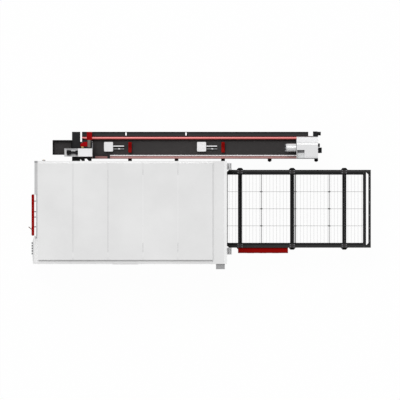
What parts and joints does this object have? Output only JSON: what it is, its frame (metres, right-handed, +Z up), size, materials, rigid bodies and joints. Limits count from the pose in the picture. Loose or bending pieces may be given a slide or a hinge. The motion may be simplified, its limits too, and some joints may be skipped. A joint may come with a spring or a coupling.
{
  "type": "fiber laser cutting machine",
  "caption": "Enclosed laser cutting machine with a sliding door, a slatted exchange table and a tube cutting unit with a travelling chuck.",
  "frame": {"origin": "on the floor, under the middle of the machine's bounding box", "axes": "+X along the machine towards the exchange table, +Y towards the tube unit, +Z up"},
  "size_m": [7.7, 3.1, 2.1],
  "materials": {
    "cabinet_paint": "satin powder coat",
    "grey_paint": "satin powder coat",
    "red_paint": "satin powder coat",
    "red_gloss": "gloss enamel",
    "black_paint": "satin powder coat",
    "bed_paint": "textured paint",
    "white_paint": "satin powder coat",
    "rail_steel": "ground steel",
    "front_rail": "satin, reflects the red rail",
    "slat_steel": "cut mild steel",
    "chuck_steel": "turned steel",
    "jaw_steel": "hardened steel",
    "head_aluminium": "anodised",
    "rubber": "matt",
    "window_glass": "laser-safe green",
    "screen": "gloss",
    "button_plastic": "matt",
    "motor_black": "satin",
    "handle_metal": "bronze anodised"
  },
  "bodies": {
    "machine": {"base_frame": "grey_paint", "front_wall_panels": "cabinet_paint", "viewing_window": "window_glass", "rear_wall_panels": "cabinet_paint", "door_wall_panels": "cabinet_paint", "top_rim": "cabinet_paint", "roof_panels": "cabinet_paint", "exchange_header": "cabinet_paint", "sliding_door_track": "grey_paint", "operator_cabinet": "cabinet_paint", "operator_screen": "screen", "console_box": "grey_paint", "gas_inlet": "black_paint", "pallet_tracks": "black_paint", "table_side_rails": "black_paint", "table_posts": "black_paint", "table_cross_bars": "black_paint", "drive_cover": "red_paint", "guide_posts": "grey_paint", "bed_beams": "bed_paint", "bed_cross_members": "bed_paint", "linear_rails": "rail_steel", "tube_bed": "bed_paint", "tube_bed_feet": "rubber", "rear_guide_rail": "red_gloss", "front_guide_rail": "front_rail", "cable_tray": "bed_paint", "support_lift_units": "white_paint", "chuck_stand": "black_paint", "front_chuck_housing": "black_paint", "front_drive_box": "white_paint", "front_chuck_motor": "motor_black", "outfeed_tray": "black_paint", "rail_end_bracket": "red_gloss"},
    "sliding_door": {"sliding_door": "red_paint", "sliding_door_hangers": "motor_black", "sliding_door_handle": "handle_metal"},
    "lift_door": {"lift_door": "red_paint"},
    "upper_pallet": {"upper_pallet_frame": "black_paint", "upper_pallet_slats": "slat_steel"},
    "lower_pallet": {"lower_pallet_frame": "black_paint", "lower_pallet_slats": "slat_steel"},
    "gantry": {"gantry_beam": "grey_paint"},
    "head_carriage": {"head_carriage": "white_paint"},
    "cutting_head": {"cutting_head": "head_aluminium"},
    "rear_chuck": {"rear_chuck_carriage": "white_paint", "rear_chuck_motors": "motor_black"},
    "rear_spindle": {"rear_chuck_rotor": "chuck_steel"},
    "front_spindle": {"front_chuck_rotor": "chuck_steel"},
    "tube_support_1": {"tube_support_1": "red_paint"},
    "tube_support_2": {"tube_support_2": "red_paint"},
    "push_button_1": {"push_button_1": "button_plastic"},
    "push_button_2": {"push_button_2": "button_plastic"},
    "push_button_3": {"push_button_3": "button_plastic"},
    "push_button_4": {"push_button_4": "button_plastic"},
    "push_button_5": {"push_button_5": "button_plastic"},
    "rear_jaw_1": {"rear_jaw_1": "jaw_steel"},
    "rear_jaw_2": {"rear_jaw_2": "jaw_steel"},
    "rear_jaw_3": {"rear_jaw_3": "jaw_steel"},
    "rear_jaw_4": {"rear_jaw_4": "jaw_steel"}
  },
  "joints": [
    {"name": "sliding_door_slide", "type": "slide", "parent": "machine", "child": "sliding_door", "axis": [0, 1, 0], "range_m": [0, 0.75]},
    {"name": "lift_door_slide", "type": "slide", "parent": "machine", "child": "lift_door", "axis": [0, 0, -1], "range_m": [0, 0.54]},
    {"name": "upper_pallet_slide", "type": "slide", "parent": "machine", "child": "upper_pallet", "axis": [-1, 0, 0], "range_m": [0, 3.13]},
    {"name": "lower_pallet_slide", "type": "slide", "parent": "machine", "child": "lower_pallet", "axis": [1, 0, 0], "range_m": [0, 3.13]},
    {"name": "gantry_slide", "type": "slide", "parent": "machine", "child": "gantry", "axis": [1, 0, 0], "range_m": [0, 3.18]},
    {"name": "head_cross_slide", "type": "slide", "parent": "gantry", "child": "head_carriage", "axis": [0, 1, 0], "range_m": [0, 1.5]},
    {"name": "head_height_slide", "type": "slide", "parent": "head_carriage", "child": "cutting_head", "axis": [0, 0, -1], "range_m": [0, 0.115]},
    {"name": "rear_chuck_slide", "type": "slide", "parent": "machine", "child": "rear_chuck", "axis": [-1, 0, 0], "range_m": [0, 4.29]},
    {"name": "rear_spindle_turn", "type": "hinge", "parent": "rear_chuck", "child": "rear_spindle", "pos_m": [2, 1.183, 1.1], "axis": [1, 0, 0], "continuous": true},
    {"name": "front_spindle_turn", "type": "hinge", "parent": "machine", "child": "front_spindle", "pos_m": [-2.5, 1.183, 1.1], "axis": [1, 0, 0], "continuous": true},
    {"name": "tube_support_1_lift", "type": "slide", "parent": "machine", "child": "tube_support_1", "axis": [0, 0, 1], "range_m": [0, 0.11]},
    {"name": "tube_support_2_lift", "type": "slide", "parent": "machine", "child": "tube_support_2", "axis": [0, 0, 1], "range_m": [0, 0.11]},
    {"name": "rear_jaw_1_clamp", "type": "slide", "parent": "rear_spindle", "child": "rear_jaw_1", "axis": [0, -1, 0], "range_m": [0, 0.018]},
    {"name": "rear_jaw_2_clamp", "type": "slide", "parent": "rear_spindle", "child": "rear_jaw_2", "axis": [0, 0, -1], "range_m": [0, 0.018]},
    {"name": "rear_jaw_3_clamp", "type": "slide", "parent": "rear_spindle", "child": "rear_jaw_3", "axis": [0, 1, 0], "range_m": [0, 0.018]},
    {"name": "rear_jaw_4_clamp", "type": "slide", "parent": "rear_spindle", "child": "rear_jaw_4", "axis": [0, 0, 1], "range_m": [0, 0.018]},
    {"name": "push_button_1_press", "type": "slide", "parent": "machine", "child": "push_button_1", "axis": [1, 0, 0], "range_m": [0, 0.004], "stiffness_N_per_m": 500},
    {"name": "push_button_2_press", "type": "slide", "parent": "machine", "child": "push_button_2", "axis": [1, 0, 0], "range_m": [0, 0.004], "stiffness_N_per_m": 500},
    {"name": "push_button_3_press", "type": "slide", "parent": "machine", "child": "push_button_3", "axis": [1, 0, 0], "range_m": [0, 0.004], "stiffness_N_per_m": 500},
    {"name": "push_button_4_press", "type": "slide", "parent": "machine", "child": "push_button_4", "axis": [1, 0, 0], "range_m": [0, 0.004], "stiffness_N_per_m": 500},
    {"name": "push_button_5_press", "type": "slide", "parent": "machine", "child": "push_button_5", "axis": [1, 0, 0], "range_m": [0, 0.004], "stiffness_N_per_m": 500}
  ],
  "couplings": [
    {"joint": "lower_pallet_slide", "follows": "upper_pallet_slide", "ratio": 1},
    {"joint": "front_spindle_turn", "follows": "rear_spindle_turn", "ratio": 1},
    {"joint": "rear_jaw_2_clamp", "follows": "rear_jaw_1_clamp", "ratio": 1},
    {"joint": "rear_jaw_3_clamp", "follows": "rear_jaw_1_clamp", "ratio": 1},
    {"joint": "rear_jaw_4_clamp", "follows": "rear_jaw_1_clamp", "ratio": 1}
  ]
}
